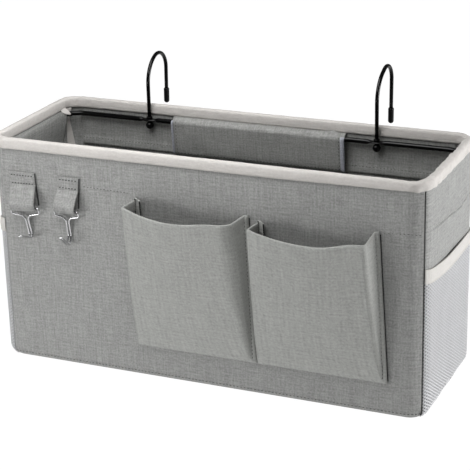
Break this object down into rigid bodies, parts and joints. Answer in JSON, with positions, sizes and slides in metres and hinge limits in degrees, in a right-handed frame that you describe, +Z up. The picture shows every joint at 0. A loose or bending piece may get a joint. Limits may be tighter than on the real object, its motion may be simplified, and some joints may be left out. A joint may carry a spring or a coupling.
{
  "type": "hanging bedside organizer",
  "caption": "Hanging fabric caddy on a steel rod frame with swivelling rail hooks, bellows and mesh pockets, and small wire hooks on straps.",
  "frame": {"origin": "centre of the box's base, on the surface it stands on", "axes": "+X to the right seen from the front, +Y towards the wall or rail it hangs on, +Z up"},
  "size_m": [0.4052, 0.1982, 0.2541],
  "materials": {
    "canvas": "matt grey slub canvas",
    "lining": "matt grey cloth",
    "tape": "matt cream woven tape",
    "net": "pale knitted mesh",
    "board": "plain stiffening board",
    "rod": "gloss black enamel",
    "cap": "satin black",
    "wire": "polished nickel"
  },
  "bodies": {
    "bag": {"front_panel": "canvas", "back_panel": "canvas", "left_panel": "canvas", "right_panel": "canvas", "base_panel": "canvas", "front_board": "board", "back_board": "board", "left_board": "board", "right_board": "board", "base_board": "board", "lining_wrap": "lining", "lining_back": "lining", "lining_base": "lining", "back_facing": "lining", "rod_sleeve": "lining", "left_corner_strip": "tape", "right_corner_strip": "tape", "rim_tape": "tape", "frame_rod": "rod", "left_pocket": "canvas", "right_pocket": "canvas", "left_pocket_tab": "canvas", "right_pocket_tab": "canvas", "left_mesh_pocket": "net", "left_pocket_band": "tape", "right_mesh_pocket": "net", "right_pocket_band": "tape", "left_strap": "canvas", "right_strap": "canvas"},
    "left_crook": {"left_rail_hook_wire": "rod", "left_rail_hook_cap": "cap"},
    "right_crook": {"right_rail_hook_wire": "rod", "right_rail_hook_cap": "cap"},
    "left_key_hook": {"left_wire_hook": "wire"},
    "right_key_hook": {"right_wire_hook": "wire"}
  },
  "joints": [
    {"name": "left_crook_swivel", "type": "hinge", "parent": "bag", "child": "left_crook", "pos_m": [-0.107, 0.06195, 0.1915], "axis": [0, 0, 1], "range_deg": [-65, 65]},
    {"name": "right_crook_swivel", "type": "hinge", "parent": "bag", "child": "right_crook", "pos_m": [0.11, 0.06195, 0.1915], "axis": [0, 0, 1], "range_deg": [-65, 65]},
    {"name": "left_key_hook_swing", "type": "hinge", "parent": "bag", "child": "left_key_hook", "pos_m": [-0.1616, -0.0751, 0.1451], "axis": [-0.9962, 0, -0.0872], "range_deg": [0, 90]},
    {"name": "right_key_hook_swing", "type": "hinge", "parent": "bag", "child": "right_key_hook", "pos_m": [-0.1208, -0.0751, 0.1476], "axis": [-1, 0, 0], "range_deg": [0, 90]}
  ]
}
